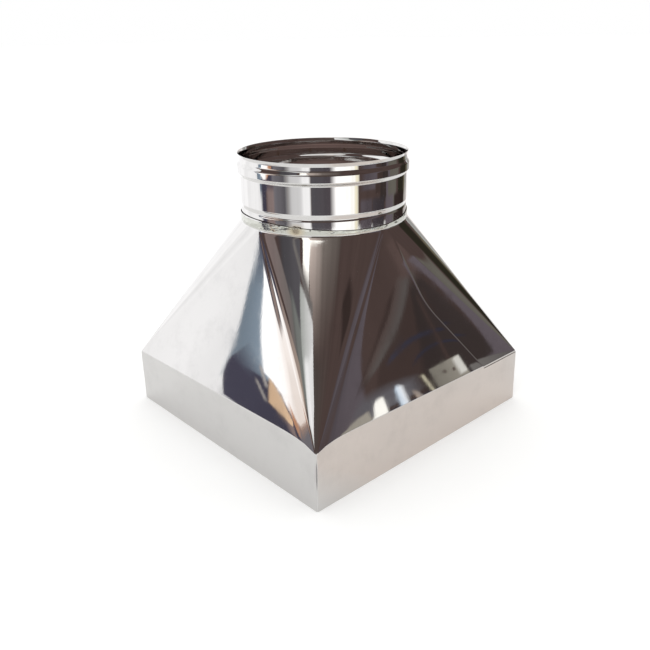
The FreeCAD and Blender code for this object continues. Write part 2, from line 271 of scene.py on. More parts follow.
def shell_roof(form):
    """Neck, roof and folds of the front shell as one grid, from its hidden lap round to its seam.

    Each column follows the sheet down from the neck's raw edge. A point's height runs evenly from
    the neck's foot to the fold, and its place in the level section is a straight side's share or
    a corner's angle, so the columns are the straight lines that sheet can be rolled along.
    """
    u_under = np.linspace(0, 1, 21)[:-1]
    left_arc = np.linspace(0, 0.5 * np.pi, 33)
    u_front = np.linspace(0, 1, 25)[1:-1]
    near_arc = np.linspace(0, 0.5 * np.pi, 61)
    u_over = np.concatenate([np.linspace(0, 1, 26)[1:-1], [0.985, 0.9925, 0.9965, 1.0]])
    parts = np.cumsum([0, len(u_under), len(left_arc), len(u_front), len(near_arc), len(u_over)])
    under, left, front, near, over = (slice(a, b) for a, b in zip(parts[:-1], parts[1:]))

    flat = form.side - form.corner
    run_front = 2 * flat * (1 - u_front)
    run_over = (flat + form.seam_low) * u_over
    run_under = (flat + form.lap - form.seam_low) * (1 - u_under)
    far = np.full(len(left_arc), 2 * form.side)
    fold = form.fold + form.bow(np.concatenate([2 * form.side - 0 * run_under, far, run_front,
                                                np.zeros(len(near_arc)), run_over]))[None, :]

    turns = np.concatenate([-np.pi + 0 * u_under, left_arc - np.pi, -0.5 * np.pi + 0 * u_front,
                            near_arc - 0.5 * np.pi, 0 * u_over])[None, :]
    crown = np.linspace(1, 0, 11)[:, None]
    crown = form.raw_edge(turns) * crown + (form.foot + form.neck_half) * (1 - crown)
    turn = np.linspace(1, -1, 13)[1:, None] * form.neck_half + form.foot + 0 * fold
    slope = np.linspace(0, 1, 74)[1:, None]
    slope = (form.foot - form.neck_half) * (1 - slope) + (fold + form.fold_half) * slope
    bend = np.linspace(1, -1, 11)[1:, None] * form.fold_half + fold
    skirt = np.linspace(0, 1, 5)[1:, None]
    skirt = (fold - form.fold_half) * (1 - skirt) + form.low_edge * skirt
    height = np.concatenate([crown, turn, slope, bend, skirt])

    across, along, corner = form.section(form.blend(height, fold))
    seam = form.seam(height)
    x = np.empty_like(height)
    y = np.empty_like(height)
    y[:, under] = (form.lap - seam[:, under]) * (1 - u_under) - (along - corner)[:, under] * u_under
    x[:, under] = -form.side_point(y[:, under], across[:, under], along[:, under], corner[:, under])
    x[:, left] = -(across - corner)[:, left] - corner[:, left] * np.cos(left_arc)
    y[:, left] = -(along - corner)[:, left] - corner[:, left] * np.sin(left_arc)
    x[:, front] = (across - corner)[:, front] * (2 * u_front - 1)
    y[:, front] = -along[:, front]
    x[:, near] = (across - corner)[:, near] + corner[:, near] * np.sin(near_arc)
    y[:, near] = -(along - corner)[:, near] - corner[:, near] * np.cos(near_arc)
    y[:, over] = -(along - corner)[:, over] * (1 - u_over) + seam[:, over] * u_over
    x[:, over] = form.side_point(y[:, over], across[:, over], along[:, over], corner[:, over])
    curl = np.clip(1 - (seam[:, over] - y[:, over]) / form.curl_reach, 0.0, 1.0)
    x[:, over] -= form.curl_depth * curl ** 2
    x = x + form.step / 2
    return np.stack([x, y, height], axis=-1), (left.start + len(left_arc) // 2,
                                                  near.start + len(near_arc) // 2, under.stop)


def crumple(points, form):
    """Small dents of the hand-turned neck: waves round it that grow towards its raw edge.

    The edge also stands off the collar, most near the front of the shell.
    """
    x, y, z = points[..., 0], points[..., 1], points[..., 2]
    turn = np.arctan2(y, x)
    reach = np.clip((z - form.foot + 1.0 * MM) / (7 * MM), 0.0, 1.0)
    waves = np.sin(23 * turn + 0.7) + 0.8 * np.sin(37 * turn + 2.1) + 0.6 * np.sin(61 * turn + 4.0)
    front = np.clip(np.cos(turn + math.radians(100)), 0.0, 1.0)
    gap = 0.16 * MM + 0.40 * MM * front
    push = 1.0 + (gap + 0.05 * MM * waves) * reach / form.neck
    moved = points.copy()
    moved[..., 0] = x * push
    moved[..., 1] = y * push
    return moved


def slit_opening(height, top, length, width):
    """Half the opening of a corner joint: a hair's gap, and a spindle where the weld is missing."""
    middle = top - length / 2
    spindle = np.clip(1 - ((height - middle) / (length / 2)) ** 2, 0.0, 1.0)
    hair = 0.10 * MM * np.clip((top - height) / (4 * MM), 0.0, 1.0)
    return 0.5 * width * spindle + hair


def flange(edge, heights, start_top, end_top, length, width):
    """A skirt flange that hangs from a row of points, its ends drawn back by the corner slits."""
    run = np.linalg.norm(np.diff(edge[:, :2], axis=0), axis=1)
    travel = np.concatenate([[0.0], np.cumsum(run)])
    total = travel[-1]
    reach = 7 * MM
    from_start = np.clip(1 - travel / reach, 0.0, 1.0)[None, :]
    from_end = np.clip(1 - (total - travel) / reach, 0.0, 1.0)[None, :]
    z = heights[:, None]
    place = travel[None, :] + slit_opening(z, start_top, length, width) * from_start
    place = place - slit_opening(z, end_top, length, width) * from_end
    x = np.interp(place, travel, edge[:, 0])
    y = np.interp(place, travel, edge[:, 1])
    return np.stack([x, y, np.broadcast_to(z, x.shape)], axis=-1)


def shell_grids(form):
    """All of the front shell's outside: roof, both flanges and the tab under the other shell."""
    roof, (left_middle, near_middle, under) = shell_roof(form)
    low = roof[-1]
    heights = form.low_edge * (1 - np.linspace(0, 1, 34))
    length, width = 34 * MM, 1.5 * MM
    near_top = form.fold - 8 * MM
    side_top = form.fold - 28 * MM
    front_edge = low[left_middle:near_middle + 1]
    front_flange = flange(front_edge, heights, side_top, near_top, length, width)

    flat = form.side - form.corner
    more = np.linspace(form.seam_low, flat, 18)[1:]
    straight = np.stack([np.full(17, form.side), more, np.full(17, form.low_edge)], axis=-1)
    angles = np.linspace(0, 0.25 * np.pi, 17)[1:]
    bend = np.stack([flat + form.corner * np.cos(angles), flat + form.corner * np.sin(angles),
                     np.full(16, form.low_edge)], axis=-1)
    side_edge = np.concatenate([low[near_middle:], straight, bend])
    side_flange = flange(side_edge, heights, near_top, side_top, length, width)

    tab_edge = low[:under]
    tab_edge = tab_edge[tab_edge[:, 1] + form.side - form.tab_start >= 0]
    drop = (form.low_edge + (form.tab_low - form.low_edge) * np.linspace(0, 1, 5))[:, None]
    tab = np.stack(np.broadcast_arrays(tab_edge[:, 0], tab_edge[:, 1], drop), axis=-1)
    return [crumple(roof, form), front_flange, side_flange, tab]


def collar_line(sizes, heights):
    """The collar's outer radius at each height: straight runs, with a soft bend where they meet."""
    foot = sizes.neck_top - sizes.neck_height
    body = sizes.bore_radius + sizes.gauge
    # Heights above the neck's foot and radii of the foot, the rolled-in stop, the body, the bead,
    # the throat and the lip.
    places = ((0.0, body - 0.3 * MM), (16.0 * MM, body - 0.3 * MM), (17.8 * MM, body - 1.1 * MM),
              (23.0 * MM, body), (55.6 * MM, body), (58.8 * MM, body + 2.8 * MM),
              (67.6 * MM, body + 2.8 * MM), (71.4 * MM, body + 0.3 * MM),
              (76.8 * MM, body + 0.3 * MM), (80.24 * MM, body + 1.7 * MM))
    soft = 0.9 * MM
    radius = np.full_like(heights, places[0][1])
    before = 0.0
    for (low, start), (high, end) in zip(places[:-1], places[1:]):
        slope = (end - start) / (high - low)
        radius = radius + (slope - before) * ramp(heights - foot - low, soft)
        before = slope
    return radius


def collar_grids(sizes, around=176, levels=200):
    """The rolled collar turned from its wall section: outside, lip, inside and foot as one ring.

    A point of the inside stands one gauge in from the outside, square to its slope. The ring is
    a hair oval: its radius waves twice and three times round.
    """
    top = sizes.collar_top
    heights = np.linspace(top, sizes.collar_foot, levels)
    radius = collar_line(sizes, heights)
    slope = np.gradient(radius, heights)
    length = np.sqrt(1 + slope ** 2)
    inside = radius - sizes.gauge / length
    inside_height = np.minimum(heights + sizes.gauge * slope / length, top)
    r = np.concatenate([radius, inside[::-1], radius[:1]])
    z = np.concatenate([heights, inside_height[::-1], heights[:1]])
    turn = np.linspace(0, 2 * np.pi, around + 1)
    oval = 1 + 0.0012 * np.cos(2 * turn + 0.6) + 0.0005 * np.cos(3 * turn + 2.0)
    ring = r[:, None] * oval[None, :]
    x = ring * np.cos(turn)[None, :]
    y = ring * np.sin(turn)[None, :]
    return [np.stack([x, y, np.broadcast_to(z[:, None], x.shape)], axis=-1)]


def droplet(centre, turn, length, height, depth, seed):
    """A weld droplet: a flattened ball with ripples across it, turned to lie along the neck."""
    theta = np.linspace(0, np.pi, 17)[:, None]
    phi = np.linspace(0, 2 * np.pi, 29)[None, :]
    ripple = (1 + 0.06 * np.sin(9 * theta + seed) * np.sin(theta)
              + 0.05 * np.sin(3 * phi + seed) * np.sin(theta))
    along = 0.5 * length * np.cos(theta) * ripple + 0 * phi
    out = 0.5 * depth * np.sin(theta) * np.cos(phi) * ripple
    up = 0.5 * height * np.sin(theta) * np.sin(phi) * ripple
    x = centre[0] + out * math.cos(turn) - along * math.sin(turn)
    y = centre[1] + out * math.sin(turn) + along * math.cos(turn)
    return np.stack([x, y, centre[2] + up], axis=-1)


def tack_grids(sizes):
    """Droplets of each tack on the neck's raw edge, and small ones on the stop by the seam."""
    form = ShellForm(sizes)
    grids = []
    radius = sizes.bore_radius + 1.5 * MM
    for index in range(sizes.tack_count):
        turn = sizes.tack_turn + index * 2 * math.pi / sizes.tack_count
        height = float(form.raw_edge(turn))
        for shift, length, tall, depth in ((-2.4 * MM, 5.4 * MM, 3.2 * MM, 2.4 * MM),
                                           (1.4 * MM, 5.6 * MM, 2.8 * MM, 2.1 * MM),
                                           (3.9 * MM, 3.0 * MM, 2.0 * MM, 1.6 * MM)):
            place = turn + shift / radius
            centre = (radius * math.cos(place), radius * math.sin(place), height)
            grids.append(droplet(centre, place, length, tall, depth, index + 900 * shift))
    band = sizes.bore_radius + sizes.gauge - 0.5 * MM
    for shift, rise, size in ((-6.6 * MM, 19.6 * MM, 1.9 * MM), (-5.0 * MM, 20.4 * MM, 1.5 * MM),
                              (-3.2 * MM, 19.2 * MM, 1.1 * MM)):
        place = shift / band
        centre = (band * math.cos(place), band * math.sin(place), form.foot + rise)
        grids.append(droplet(centre, place, 1.3 * size, size, size, 700 * shift))
    return grids


def set_socket(socket, value):
    """Gives an input a value, or a link from another node's output."""
    if isinstance(value, bpy.types.NodeSocket):
        socket.id_data.links.new(value, socket)
    else:
        socket.default_value = value


def new_node(tree, kind, **values):
    """A node with its inputs and its properties set by name."""
    item = tree.nodes.new(kind)
    for key, value in values.items():
        name = key.replace("_", " ").title()
        if name in item.inputs:
            set_socket(item.inputs[name], value)
        else:
            setattr(item, key, value)
    return item


def math_node(tree, operation, *values):
    """A Math node fed by sockets or numbers; its result socket."""
    item = new_node(tree, "ShaderNodeMath", operation=operation)
    for socket, value in zip(item.inputs, values):
        set_socket(socket, value)
    return item.outputs[0]


def hypotenuse(tree, first, second):
    """The root of the sum of two squares; its socket."""
    squares = [math_node(tree, "MULTIPLY", side, side) for side in (first, second)]
    return math_node(tree, "SQRT", math_node(tree, "ADD", *squares))


def fade_node(tree, value, start, end):
    """A smooth step from 0 at the start to 1 at the end; its socket."""
    return new_node(tree, "ShaderNodeMapRange", interpolation_type="SMOOTHSTEP",
                    value=value, from_min=start, from_max=end).outputs[0]


def noise_node(tree, position, upright, scale, detail, roughness):
    """Cloudy noise, drawn out in height where upright is under 1; its socket."""
    if upright != 1:
        position = new_node(tree, "ShaderNodeMapping", vector=position,
                            scale=(1.0, 1.0, upright)).outputs[0]
    return new_node(tree, "ShaderNodeTexNoise", vector=position, scale=scale, detail=detail,
                    roughness=roughness).outputs[0]


def mix_colours(tree, mask, first, second):
    """A mix of two colours by a mask; its socket."""
    item = new_node(tree, "ShaderNodeMix", data_type="RGBA")
    for index, value in ((0, mask), (6, first), (7, second)):
        set_socket(item.inputs[index], value)
    return item.outputs[2]


def bump_node(tree, height, strength, distance, **normal):
    """Relief of a height, laid over a normal where one is given; its socket."""
    return new_node(tree, "ShaderNodeBump", height=height, strength=strength,
                    distance=distance, **normal).outputs[0]


def new_group(name, outputs):
    """A node group from a position to numbers: its tree, its position and its exit."""
    tree = bpy.data.node_groups.new(name, "ShaderNodeTree")
    tree.interface.new_socket("Position", in_out="INPUT", socket_type="NodeSocketVector")
    for output in outputs:
        tree.interface.new_socket(output, in_out="OUTPUT", socket_type="NodeSocketFloat")
    entry = tree.nodes.new("NodeGroupInput")
    return tree, entry.outputs[0], tree.nodes.new("NodeGroupOutput")


def weld_heat_group(sizes):
    """Mask of the heat round each tack, from the angle round the neck and the height."""
    reaches = {"Straw": 11 * MM, "Soot": 4.5 * MM}
    tree, position, leave = new_group("Weld heat", reaches)
    split = new_node(tree, "ShaderNodeSeparateXYZ", vector=position)
    angle = math_node(tree, "ARCTAN2", split.outputs["Y"], split.outputs["X"])
    pitch = 2 * math.pi / sizes.tack_count
    shifted = math_node(tree, "ADD", angle, 10 * pitch + pitch / 2 - sizes.tack_turn)
    turned = math_node(tree, "MODULO", shifted, pitch)
    off = math_node(tree, "SUBTRACT", turned, pitch / 2)
    sideways = math_node(tree, "MULTIPLY", off, (sizes.bore_radius + 1 * MM) * 0.75)
    upwards = math_node(tree, "SUBTRACT", split.outputs["Z"], sizes.neck_top - 1 * MM)
    distance = hypotenuse(tree, sideways, upwards)
    for name, reach in reaches.items():
        set_socket(leave.inputs[name], fade_node(tree, distance, reach, 1.5 * MM))
    return tree


def sheet_skin_group(sizes):
    """The polished sheet's soft waves, rolling lines and smudges, and the neck's dents and mask."""
    tree, position, leave = new_group("Sheet skin", ("Waves", "Lines", "Smudge", "Dents", "Neck"))
    split = new_node(tree, "ShaderNodeSeparateXYZ", vector=position)
    foot = sizes.neck_top - sizes.neck_height
    reach = hypotenuse(tree, split.outputs["X"], split.outputs["Y"])
    beyond = math_node(tree, "GREATER_THAN", reach, sizes.bore_radius + 0.85 * MM)
    above = fade_node(tree, split.outputs["Z"], foot, foot + 3 * MM)
    below = math_node(tree, "LESS_THAN", split.outputs["Z"], sizes.neck_top + 4 * MM)
    neck = math_node(tree, "MULTIPLY", math_node(tree, "MULTIPLY", above, below), beyond)
    dents = noise_node(tree, position, 2.0, scale=105.0, detail=1.5, roughness=0.5)
    smudge = noise_node(tree, position, 1, scale=26.0, detail=5.0, roughness=0.65)
    masks = {
        "Waves": noise_node(tree, position, 1, scale=9.0, detail=1.0, roughness=0.4),
        "Lines": noise_node(tree, position, 0.05, scale=420.0, detail=2.0, roughness=0.6),
        "Smudge": fade_node(tree, smudge, 0.45, 0.75),
        "Dents": math_node(tree, "MULTIPLY", dents, neck),
        "Neck": neck,
    }
    for name, mask in masks.items():
        set_socket(leave.inputs[name], mask)
    return tree


def new_material(name):
    """A material, its node tree and the position on the piece."""
    material = bpy.data.materials.new(name)
    material.use_nodes = True
    tree = material.node_tree
    return material, tree, tree.nodes.new("ShaderNodeTexCoord").outputs["Object"]


def finish_metal(tree, colour, rough, normal):
    """Feeds the metal shader its colour, its roughness and its relief."""
    shader = tree.nodes["Principled BSDF"]
    for name, value in (("Metallic", 1.0), ("Base Color", colour), ("Roughness", rough),
                        ("Normal", normal)):
        set_socket(shader.inputs[name], value)


def shade(colour, level):
    """A colour at a strength, with its alpha, no part of it over 1."""
    return (*[min(1.0, level * part) for part in colour], 1)


def sheet_material(name, finish, skin, heat, waviness):
    """Mirror-polished stainless sheet, dulled by hands at the neck and by heat round the tacks."""
    material, tree, position = new_material(name)
    surface = new_node(tree, "ShaderNodeGroup", node_tree=skin, position=position).outputs
    warmth = new_node(tree, "ShaderNodeGroup", node_tree=heat, position=position).outputs

    handled, soot = (0.55, 0.56, 0.50), (0.16, 0.13, 0.11)
    colour = mix_colours(tree, surface["Smudge"], shade(finish.sheet, 1), shade(finish.sheet, 0.93))
    for mask, cover, film in ((surface["Neck"], 0.8, handled), (warmth["Straw"], 0.55, finish.tint),
                              (warmth["Soot"], 0.5, soot)):
        colour = mix_colours(tree, math_node(tree, "MULTIPLY", mask, cover), colour, shade(film, 1))

    rough = 0.035
    for mask, more in ((surface["Smudge"], 0.05), (warmth["Soot"], 0.25), (surface["Neck"], 0.05)):
        rough = math_node(tree, "MULTIPLY_ADD", mask, more, rough)

    normal = bump_node(tree, surface["Waves"], waviness, 4 * MM)
    normal = bump_node(tree, surface["Lines"], 0.015, 0.4 * MM, normal=normal)
    normal = bump_node(tree, surface["Dents"], 0.9, 0.8 * MM, normal=normal)
    finish_metal(tree, colour, rough, normal)
    return material


def weld_material(finish):
    """As-welded metal: dull rippled droplets with a dark heat film in their hollows."""
    material, tree, position = new_material("Weld metal")
    film = noise_node(tree, position, 1, scale=700.0, detail=3.0, roughness=0.6)
    colour = mix_colours(tree, film, shade(finish.weld, 0.45), shade(finish.weld, 1.35))
    rough = math_node(tree, "MULTIPLY_ADD", film, 0.3, 0.12)
    finish_metal(tree, colour, rough, bump_node(tree, film, 0.4, 0.6 * MM))
    return material


# Tones of what the polished metal sees round it, as linear colours at full strength.
PALE = (1.0, 1.0, 1.01)
BLUE = (0.64, 0.81, 1.0)
NAVY = (0.72, 0.68, 1.0)
PEACH = (1.0, 0.80, 0.67)
ORANGE = (1.0, 0.46, 0.23)
ROSE = (1.0, 0.76, 0.73)
DUSK = (1.0, 0.68, 0.62)
UMBER = (1.0, 0.85, 0.77)
APRICOT = (1.0, 0.70, 0.46)
PURPLE = (1.0, 0.84, 0.96)
SLATE = (0.95, 0.90, 1.0)
STONE = (1.0, 0.93, 0.90)
MOSS = (1.0, 0.93, 0.80)
OLIVE = (1.0, 0.90, 0.60)
SAGE = (0.95, 1.0, 0.95)
CREAM = (1.0, 0.985, 0.93)
STRAW = (1.0, 0.93, 0.70)


class Card(NamedTuple):
    """A glowing card bent round the hopper: a painted reflection that only the polished metal sees.

    left and right are its edges as directions from +X in degrees, low and high its foot and top
    in metres. An edge that leans or bows has three values: left and right at the foot, middle and
    top, low and high at the left, middle and right. glow is its colour, or its colours at the left
    and at the right. soft is how far its left, right, foot and top fade, in degrees and metres. A
    near card hangs close by, where the low roof sees it and the collar looks over it.
    """

    name: str
    left: float | tuple
    right: float | tuple
    low: float | tuple
    high: float | tuple
    glow: tuple
    soft: tuple
    near: bool = False


def lit(tone, level):
    """A tone at a strength."""
    return tuple(part * level for part in tone)


# Where the cards hang, in metres out from the hopper's middle. Later ones hang in front.
FAR_REACH, NEAR_REACH, CARD_GAP = 0.90, 0.50, 0.8 * MM
CARDS = (
    Card("pale wall", -262, -128, 0, 2.6, lit(PALE, 1.20), (0, 0, 0, 0)),
    Card("dusk room", -128, 99, 0.045, 2.6, lit(DUSK, 0.098), (1, 1, 0.006, 0)),
    Card("dusk over the door", -138, -127, 0.44, 2.6, lit(DUSK, 0.098), (0.4, 0, 0.02, 0)),
    Card("grey ceiling", -114, -84, 0.72, 1.6, (lit(SLATE, 0.08), lit(SLATE, 0.14)),
         (6, 1, 0.08, 0.2)),
    Card("umber ceiling", -69, -44, 1.0, 2.6, (lit(UMBER, 0.88), lit(UMBER, 0.24)),
         (1, 0, 0.55, 0)),
    Card("umber ceiling's far end", -44, -10, 1.0, 2.6, (lit(UMBER, 0.24), lit(UMBER, 0.13)),
         (0, 6, 0.55, 0)),
    Card("umber wall", -62, -12, 0.5, 1.10, (lit(UMBER, 0.10), lit(DUSK, 0.10)), (1, 6, 0, 0.15)),
    Card("pale rail", -60, -14, (0.56, 0.56, 0.46), (0.70, 0.68, 0.56),
         (lit(UMBER, 0.14), lit(STONE, 0.13)), (2, 4, 0.03, 0.05)),
    Card("rose band", -130, -97, (0.52, 0.52, 0.53), (0.77, 0.79, 0.80),
         (lit(ROSE, 0.30), lit(STONE, 0.20)), (2, 5, 0.03, 0.03)),
    Card("grey corner", -103, -84, 0.44, 0.88, (lit(SAGE, 0.20), lit(SAGE, 0.30)),
         (5, 2, 0.05, 0.06)),
    Card("low haze", -132, -96, (0.37, 0.39, 0.40), (0.475, 0.52, 0.60),
         (lit(ROSE, 0.34), lit(PEACH, 0.48)), (2, 4, 0.02, 0.02)),
    Card("door shade", (-131.4, -134.2, -139.3), (-96, -106, -124), 0.125, (0.475, 0.475, 0.46),
         (lit(NAVY, 0.14), lit(NAVY, 0.08)), (0.2, 3, 0, 0.02)),
    Card("door glaze", (-132.0, -134.4, -138.6), (-122, -130, -133.6), 0.105, 0.44,
         (lit(BLUE, 0.34), lit(BLUE, 0.56)), (0.8, 0.3, 0.03, 0.12)),
    Card("door lintel", -138, -106, (0.462, 0.490, 0.54), (0.505, 0.545, 0.59),
         (lit(DUSK, 0.11), lit(DUSK, 0.08)), (1, 5, 0.012, 0.012)),
    Card("white blind", (-126.6, -131.7, -134.4), (-101, -101, -101), (0.165, 0.165, 0.28),
         (0.40, 0.42, 0.44), (lit(PALE, 1.80), lit(PEACH, 0.80)), (0.5, 3, 0.004, 0.03)),
    Card("blind's warm hem", -119, -100, (0.150, 0.185, 0.285), (0.180, 0.235, 0.36),
         (lit(ORANGE, 0.75), lit(PEACH, 0.40)), (4, 2, 0.01, 0.02)),
    Card("tall window", (-93, -89.5, -86.0), (-61.5, -61.5, -61.5), (0.44, 0.55, 0.80),
         (1.10, 1.16, 1.13), (lit(SAGE, 0.50), lit(PALE, 1.10)), (2, 1, 0.02, 0.03)),
    Card("window glare", (-99, -84, -67), (-86, -72, -61.5), (0.38, 0.50, 0.80), (0.62, 0.84, 1.06),
         lit(PALE, 1.15), (3, 1, 0.05, 0.09)),
    Card("window head", -96, -62, 1.13, 1.24, lit(STONE, 0.22), (3, 1, 0.03, 0.05)),
    Card("ceiling over the lamp", -90, -48, (1.40, 1.52, 1.64), 2.0,
         (lit(STONE, 0.24), lit(STONE, 0.50)), (3, 3, 0.02, 0.1)),
    Card("ceiling lamp", -80.5, (-68.5, -68.5, -66), 1.20, (1.42, 1.48, 1.54), lit(CREAM, 1.7),
         (1.2, 1.8, 0.14, 0.02)),
    Card("lamp's long arm", -80.5, -33, (1.36, 1.585, 1.625), (1.43, 1.65, 1.70),
         (lit(CREAM, 1.8), lit(CREAM, 1.6)), (1.5, 3, 0.02, 0.025)),
    Card("brown arch", (2, 6, 12), (12, 15, 20), 0.70, 1.15, lit(DUSK, 0.11), (3, 3, 0.1, 0.1)),
    Card("dark arch", (6, 0, -6), (16, 12, 4), 0.58, 0.98, lit(DUSK, 0.05), (3, 3, 0.06, 0.08)),
    Card("purple wall", (4, 6, 18), (27.5, 33, 42), 0.13, (0.52, 0.56, 0.62),
         (lit(PURPLE, 0.10), lit(PURPLE, 0.145)), (9, 0.8, 0.005, 0.12)),
    Card("brown panel", (27.5, 33.0, 41.0), (47.5, 46.0, 44.0), 0.12, 0.36, lit(DUSK, 0.072),
         (1.0, 0.3, 0.003, 0.02)),
    Card("beam's shade", (25.4, 33.6, 39.6), (28.2, 36.0, 41.6), 0.185, 0.36, lit(DUSK, 0.05),
         (1.2, 0.5, 0.03, 0.03)),
    Card("beam", (27.0, 35.2, 41.0), (29.6, 38.8, 43.4), 0.195, 0.37,
         (lit(DUSK, 0.115), lit(STONE, 0.14)), (0.6, 0.8, 0.02, 0.01)),
    Card("beam's upper end", (41.2, 41.8, 41.8), (43.4, 43.6, 43.4), 0.35, 0.46, lit(DUSK, 0.13),
         (0.6, 0.6, 0.01, 0.02)),
    Card("dark door", (34.5, 38.4, 41.8), (47.0, 45.4, 43.0), 0.10, (0.325, 0.335, 0.335),
         (lit(ROSE, 0.048), lit(ROSE, 0.056)), (1.5, 0.15, 0.0, 0.003)),
    Card("door's blue arc", 33, 43.6, (0.203, 0.224, 0.208), (0.215, 0.237, 0.218),
         (lit(NAVY, 0.085), lit(NAVY, 0.055)), (1.5, 1.2, 0.003, 0.003)),
    Card("door's second arc", 36, 44.6, (0.176, 0.194, 0.166), (0.184, 0.203, 0.175),
         lit(NAVY, 0.06), (1.5, 1.2, 0.003, 0.003)),
    Card("door's inner line", (40.6, 41.2, 42.0), (41.5, 42.0, 42.6), 0.12, 0.32, lit(DUSK, 0.075),
         (0.3, 0.3, 0.01, 0.02)),
    Card("post", (46.6, 45.5, 42.6), (51.5, 49.5, 46.6), 0.09, (0.385, 0.395, 0.40),
         lit(PURPLE, 0.16), (0.15, 0.4, 0, 0.006)),
    Card("olive wall", (51.0, 49.0, 46.8), (70, 71, 73), 0.045, 0.405,
         (lit(MOSS, 0.165), lit(MOSS, 0.19)), (0.4, 5, 0, 0.02)),
    Card("olive door", 72, 93, 0.045, 0.60, lit(OLIVE, 0.032), (3, 3, 0, 0.1)),
    Card("bright olive wall", 91, 101, 0.045, 0.34, lit(OLIVE, 0.15), (2, 3, 0, 0.05)),
    Card("grey wall", 99, 113, 0.045, 2.6, (lit(SAGE, 0.36), lit(STONE, 0.50)), (2, 3, 0, 0)),
    Card("far wall", 112, 138, 0, 2.6, lit(STONE, 0.85), (3, 3, 0, 0)),
    Card("low navy", -131, -120, 0.050, 0.155, (lit(NAVY, 0.11), lit(NAVY, 0.10)),
         (4, 2, 0.004, 0.004)),
    Card("low rose", -122, -105, 0.050, 0.15, (lit(ROSE, 0.27), lit(ROSE, 0.35)),
         (4, 3, 0.004, 0.02)),
    Card("low grey", -110, -89, 0.050, 0.25, (lit(SLATE, 0.25), lit(SLATE, 0.13)),
         (3, 1, 0.004, 0.03)),
    Card("low pale", -92.5, -57.6, 0.050, 0.30, (lit(PALE, 0.66), lit(PALE, 1.08)),
         (9, 3, 0.004, 0.03)),
    Card("low line", -70, -57.6, 0.050, 0.30, lit(PALE, 1.22), (3, 3, 0.004, 0.03)),
    Card("low shade", -57.7, -32, 0.048, 0.30, (lit(SLATE, 0.122), lit(PURPLE, 0.105)),
         (0.4, 1, 0.004, 0.03)),
    Card("low window", -34.3, 2.8, 0.045, 0.30, (lit(PALE, 1.6), lit(CREAM, 1.5)),
         (8, 3.8, 0.004, 0.03)),
    Card("low window's edge", -4, 2.8, 0.045, 0.30, lit(STRAW, 1.2), (3, 3, 0.004, 0.03)),
    Card("low drape", 4, 23, 0.045, 0.12, (lit(PURPLE, 0.135), lit(PURPLE, 0.10)), (2, 2, 0, 0.01)),
    Card("low corner", 22, 44, 0.045, 0.12, (lit(PURPLE, 0.075), lit(PURPLE, 0.052)),
         (2, 2, 0, 0.01)),
    Card("low post", 44, 63, 0.045, 0.12, (lit(PURPLE, 0.15), lit(PURPLE, 0.18)), (3, 3, 0, 0.01)),
    Card("low dark post", 62, 95, 0.045, 0.12, (lit(DUSK, 0.05), lit(DUSK, 0.03)), (3, 3, 0, 0.01)),
    Card("low far wall", 92, 113, 0.045, 0.13, (lit(STONE, 0.40), lit(STONE, 0.75)),
         (5, 2, 0, 0.03)),
    Card("near navy", (-121.2, -124.2, -122.4), -97, (0.075, 0.067, 0.066), (0.172, 0.120, 0.085),
         (lit(NAVY, 0.118), lit(NAVY, 0.095)), (0.25, 2, 0.0015, 0.038), True),
    # Two pale patches that the low roof mirrors: painted reflected light, not marks on the sheet.
    Card("near pale patch", (-114.2, -116.4, -118.6), (-112.8, -115.0, -117.4), 0.118, 0.148,
         lit(STONE, 0.50), (0.6, 0.5, 0.006, 0.006), True),
    Card("near pale patch 2", (-112.8, -115.4, -118.0), (-111.4, -114.0, -116.8), 0.099, 0.126,
         lit(STONE, 0.42), (0.6, 0.4, 0.006, 0.006), True),
    Card("near orange", (-112.0, -113.5, -114.9), -101.6, (0.101, 0.098, 0.105),
         (0.140, 0.123, 0.114), (lit(APRICOT, 0.84), lit(APRICOT, 1.05)), (0.8, 0.4, 0.004, 0.004),
         True),
    Card("lit glow", 10, 29, 0.100, (0.130, 0.138, 0.126), lit(SLATE, 0.17), (5, 3, 0, 0.024),
         True),
    Card("lit sill", 1.0, 16.0, 0.074, (0.100, 0.108, 0.112), (lit(MOSS, 0.32), lit(MOSS, 0.50)),
         (2, 0.8, 0, 0.003), True),
    Card("lit pane 1", (14.6, 15.6, 17.4), (19.2, 19.8, 20.2), 0.074, (0.117, 0.122, 0.120),
         lit(CREAM, 1.5), (1.0, 0.6, 0, 0.005), True),
    Card("lit pane 2", (21.6, 22.0, 22.6), (24.2, 24.6, 25.0), 0.074, (0.124, 0.126, 0.120),
         (lit(BLUE, 1.2), lit(PALE, 1.3)), (0.9, 0.8, 0, 0.006), True),
    Card("lit pane 3", (25.6, 25.6, 25.6), (28.0, 27.6, 27.0), 0.074, (0.108, 0.105, 0.098),
         (lit(PEACH, 0.62), lit(STONE, 0.35)), (0.6, 0.7, 0, 0.004), True),
    Card("lit bar", (29.3, 29.0, 28.7), (30.2, 29.9, 29.6), 0.074, 0.120, lit(STRAW, 0.7),
         (0.25, 0.25, 0, 0.002), True),
    Card("lit shelf", (30.6, 30.6, 30.8), (38.0, 38.0, 37.6), 0.070, (0.122, 0.121, 0.120),
         (lit(MOSS, 0.28), lit(MOSS, 0.42)), (0.3, 0.3, 0, 0.0015), True),
    Card("shelf's lit end", 35.8, 37.9, 0.088, 0.1195, lit(CREAM, 0.9), (0.8, 0.4, 0.004, 0.003),
         True),
    Card("shelf knob 1", 33.0, 34.0, 0.103, 0.110, lit(DUSK, 0.10), (0.3, 0.3, 0.002, 0.002), True),
    Card("shelf knob 2", 35.0, 35.8, 0.099, 0.106, lit(DUSK, 0.10), (0.3, 0.3, 0.002, 0.002), True),
    Card("low shelf", 38.2, 47.5, 0.066, (0.097, 0.090, 0.078),
         (lit(STONE, 0.22), lit(STONE, 0.14)), (0.4, 1.5, 0, 0.003), True),
)


